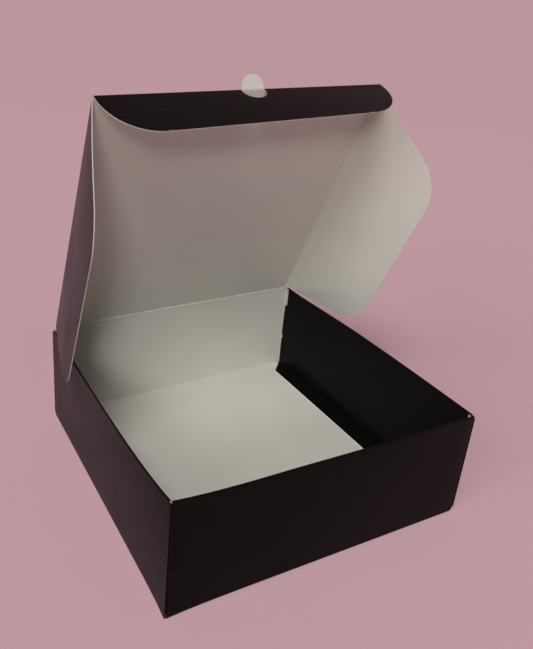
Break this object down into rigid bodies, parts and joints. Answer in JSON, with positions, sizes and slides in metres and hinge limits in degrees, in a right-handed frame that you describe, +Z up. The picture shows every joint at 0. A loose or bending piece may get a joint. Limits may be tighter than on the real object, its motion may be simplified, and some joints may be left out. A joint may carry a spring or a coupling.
{
  "type": "roll-end tuck-top gift box",
  "caption": "Square paperboard gift box, black outside and white inside, with rolled side walls and a hinged lid with tapered side flaps, a tuck flap and a thumb tab.",
  "frame": {"origin": "middle of the base's underside", "axes": "+Z up, +Y towards the lid's hinge at the back, +X to the right as seen from the front"},
  "size_m": [0.3375, 0.28, 0.3631],
  "materials": {
    "printed_board": "satin"
  },
  "bodies": {
    "tray": {"folded_tray": "printed_board"},
    "lid": {"lid_panel": "printed_board"},
    "ear_left": {"lid_ear_left": "printed_board"},
    "ear_right": {"lid_ear_right": "printed_board"},
    "flap": {"tuck_flap": "printed_board"}
  },
  "joints": [
    {"name": "lid_hinge", "type": "hinge", "parent": "tray", "child": "lid", "pos_m": [0, 0.1396, 0.10045], "axis": [-1, 0, 0], "range_deg": [0, 115.5]},
    {"name": "ear_left_fold", "type": "hinge", "parent": "lid", "child": "ear_left", "pos_m": [-0.13635, 0.1396, 0.10045], "axis": [0, -0.4305, 0.9026], "range_deg": [-75, 0]},
    {"name": "ear_right_fold", "type": "hinge", "parent": "lid", "child": "ear_right", "pos_m": [0.13635, 0.1396, 0.10045], "axis": [0, 0.4305, -0.9026], "range_deg": [-64, 11]},
    {"name": "flap_fold", "type": "hinge", "parent": "lid", "child": "flap", "pos_m": [0, 0.02035, 0.35047], "axis": [1, 0, 0], "range_deg": [-86, 9]}
  ]
}
